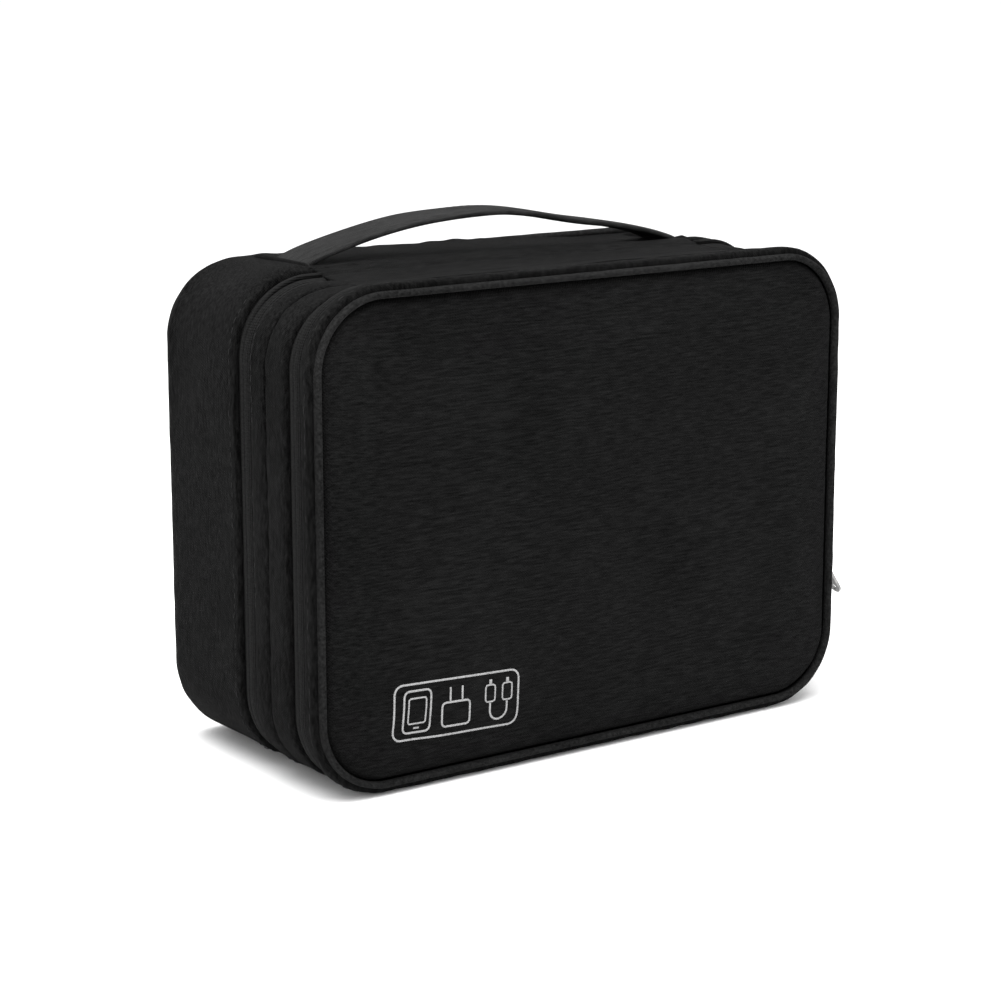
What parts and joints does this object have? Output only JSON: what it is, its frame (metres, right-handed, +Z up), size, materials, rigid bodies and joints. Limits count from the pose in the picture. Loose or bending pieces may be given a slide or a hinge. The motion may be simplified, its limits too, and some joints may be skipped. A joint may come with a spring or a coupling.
{
  "type": "cable organizer pouch",
  "caption": "Padded fabric travel case with a zipped front lid, a middle cable tray, a deep rear shell with dividers, and a top carry strap.",
  "frame": {"origin": "under the middle of the closed case, on the plane it stands on, at the front of the rear shell's bottom wall", "axes": "+X to the case's right seen from the front, +Y from the front lid to the rear shell, +Z up to the carry strap"},
  "size_m": [0.2587, 0.1139, 0.2005],
  "materials": {
    "shell_fabric": "matte",
    "piping_fabric": "matte",
    "zipper_tape": "matte",
    "zipper_coil": "satin",
    "lining_fabric": "matte",
    "foam": "matte",
    "elastic_webbing": "matte",
    "pocket_net": "matte",
    "strap_fabric": "matte",
    "slider_metal": "satin"
  },
  "bodies": {
    "rear_shell": {"rear_side_wall": "shell_fabric", "rear_piping": "piping_fabric", "rear_panel": "shell_fabric", "rear_foam": "foam", "rear_lining": "lining_fabric", "wall_lining": "lining_fabric", "rear_zipper_tape_shell_side": "zipper_tape", "rear_zipper_coil_shell_side": "zipper_coil", "rear_spine_shell_side": "shell_fabric", "strap_end_left": "strap_fabric", "strap_end_right": "strap_fabric", "strap_seam_left": "shell_fabric", "strap_seam_right": "shell_fabric"},
    "tray": {"tray_wall": "shell_fabric", "tray_rear_band": "shell_fabric", "tray_back_board": "lining_fabric", "tray_loop_row_lower": "elastic_webbing", "tray_loop_row_middle": "elastic_webbing", "tray_loop_row_upper": "elastic_webbing", "tray_rear_pocket_net": "pocket_net", "tray_rear_pocket_elastic_hem": "elastic_webbing", "front_zipper_tape_tray_side": "zipper_tape", "front_zipper_coil_tray_side": "zipper_coil", "front_spine_tray_side": "shell_fabric", "rear_zipper_tape_tray_side": "zipper_tape", "rear_zipper_coil_tray_side": "zipper_coil", "rear_spine_tray_side": "shell_fabric"},
    "front_lid": {"front_panel": "shell_fabric", "front_piping": "piping_fabric", "front_foam": "foam", "front_lining": "lining_fabric", "lid_side_wall": "shell_fabric", "lid_pocket_net": "pocket_net", "lid_pocket_elastic_hem": "elastic_webbing", "front_zipper_tape_lid_side": "zipper_tape", "front_zipper_coil_lid_side": "zipper_coil", "front_spine_lid_side": "shell_fabric"},
    "strap": {"carry_strap": "strap_fabric"},
    "divider_left": {"divider_left": "lining_fabric"},
    "divider_right": {"divider_right": "lining_fabric"},
    "front_lower_slider": {"front_zipper_lower_slider": "slider_metal"},
    "front_lower_pull": {"front_zipper_lower_pull": "slider_metal"},
    "front_upper_slider": {"front_zipper_upper_slider": "slider_metal"},
    "front_upper_pull": {"front_zipper_upper_pull": "slider_metal"},
    "rear_lower_slider": {"rear_zipper_lower_slider": "slider_metal"},
    "rear_lower_pull": {"rear_zipper_lower_pull": "slider_metal"},
    "rear_upper_slider": {"rear_zipper_upper_slider": "slider_metal"},
    "rear_upper_pull": {"rear_zipper_upper_pull": "slider_metal"}
  },
  "joints": [
    {"name": "tray_hinge", "type": "hinge", "parent": "rear_shell", "child": "tray", "pos_m": [0, -0.00635, 0.187], "axis": [-1, 0, 0], "range_deg": [0, 90]},
    {"name": "lid_hinge", "type": "hinge", "parent": "tray", "child": "front_lid", "pos_m": [0, -0.04185, 0.187], "axis": [-1, 0, 0], "range_deg": [0, 180]},
    {"name": "strap_tilt", "type": "hinge", "parent": "rear_shell", "child": "strap", "pos_m": [0, 0.01675, 0.187], "axis": [-1, 0, 0], "range_deg": [-18, 18]},
    {"name": "divider_left_shift", "type": "slide", "parent": "rear_shell", "child": "divider_left", "axis": [1, 0, 0], "range_m": [-0.02, 0.02]},
    {"name": "divider_right_shift", "type": "slide", "parent": "rear_shell", "child": "divider_right", "axis": [1, 0, 0], "range_m": [-0.02, 0.02]},
    {"name": "front_lower_slider_travel", "type": "slide", "parent": "tray", "child": "front_lower_slider", "axis": [0, 0, 1], "range_m": [-0.018, 0]},
    {"name": "front_lower_pull_swing", "type": "hinge", "parent": "front_lower_slider", "child": "front_lower_pull", "pos_m": [0.124, -0.04185, 0.056], "axis": [0, -1, 0], "range_deg": [-32, 61]},
    {"name": "front_upper_slider_travel", "type": "slide", "parent": "tray", "child": "front_upper_slider", "axis": [0, 0, 1], "range_m": [0, 0.07]},
    {"name": "front_upper_pull_swing", "type": "hinge", "parent": "front_upper_slider", "child": "front_upper_pull", "pos_m": [0.124, -0.04185, 0.068], "axis": [0, -1, 0], "range_deg": [-92, 0]},
    {"name": "rear_lower_slider_travel", "type": "slide", "parent": "rear_shell", "child": "rear_lower_slider", "axis": [0, 0, 1], "range_m": [-0.066, 0]},
    {"name": "rear_lower_pull_swing", "type": "hinge", "parent": "rear_lower_slider", "child": "rear_lower_pull", "pos_m": [0.124, -0.00635, 0.104], "axis": [0, -1, 0], "range_deg": [-2, 91]},
    {"name": "rear_upper_slider_travel", "type": "slide", "parent": "rear_shell", "child": "rear_upper_slider", "axis": [0, 0, 1], "range_m": [0, 0.027]},
    {"name": "rear_upper_pull_swing", "type": "hinge", "parent": "rear_upper_slider", "child": "rear_upper_pull", "pos_m": [0.124, -0.00635, 0.116], "axis": [0, -1, 0], "range_deg": [-92, 0]}
  ]
}
